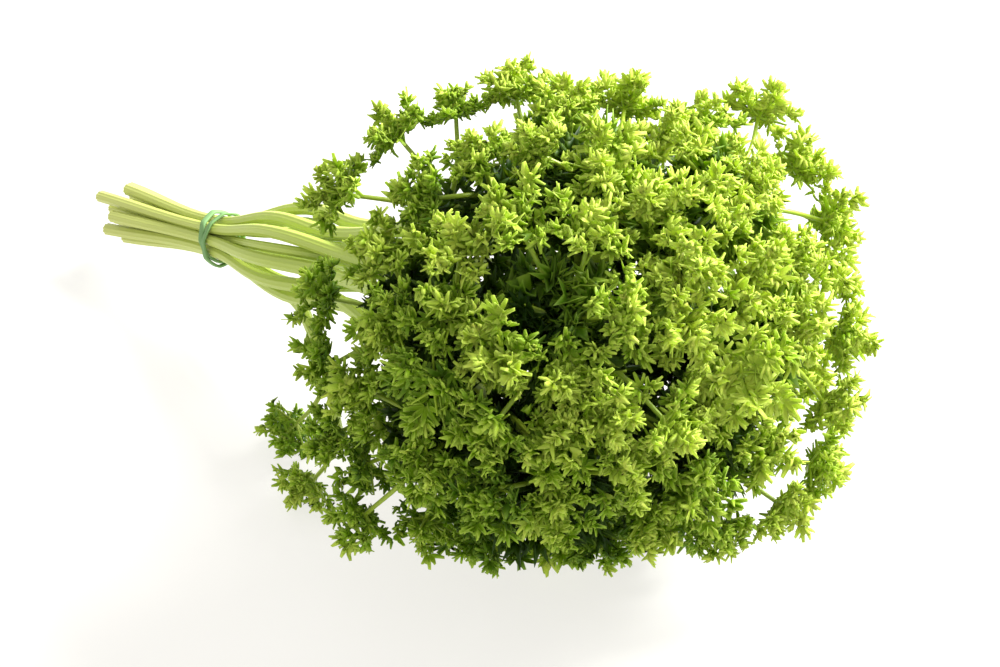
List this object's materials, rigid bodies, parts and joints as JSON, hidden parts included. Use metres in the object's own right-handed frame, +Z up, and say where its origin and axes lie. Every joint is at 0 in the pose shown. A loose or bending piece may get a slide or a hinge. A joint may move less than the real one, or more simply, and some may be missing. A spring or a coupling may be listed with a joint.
{
  "type": "parsley bunch",
  "caption": "Fresh bunch of curly parsley lying on its side, its leafy stems gathered by a green rubber band wound twice, with a round head of ruffled leaves.",
  "frame": {"origin": "under the middle of the bunch, on the surface it lies on", "axes": "+X along the stems from the cut ends towards the leaves, +Z up, +Y to the left of +X"},
  "size_m": [0.2419, 0.1434, 0.1155],
  "materials": {
    "leaf": "satin",
    "elastic": "matte"
  },
  "bodies": {
    "root": {"sprig_top": "leaf", "sprig_left": "leaf", "sprig_low_left": "leaf", "sprig_centre": "leaf", "sprig_bottom": "leaf", "sprig_low_right": "leaf", "sprig_right": "leaf", "sprig_top_middle": "leaf", "sprig_upper_right": "leaf", "sprig_top_right": "leaf", "sprig_far_side": "leaf", "sprig_far_low": "leaf", "sprig_short": "leaf", "rubber_band": "elastic"}
  },
  "joints": []
}
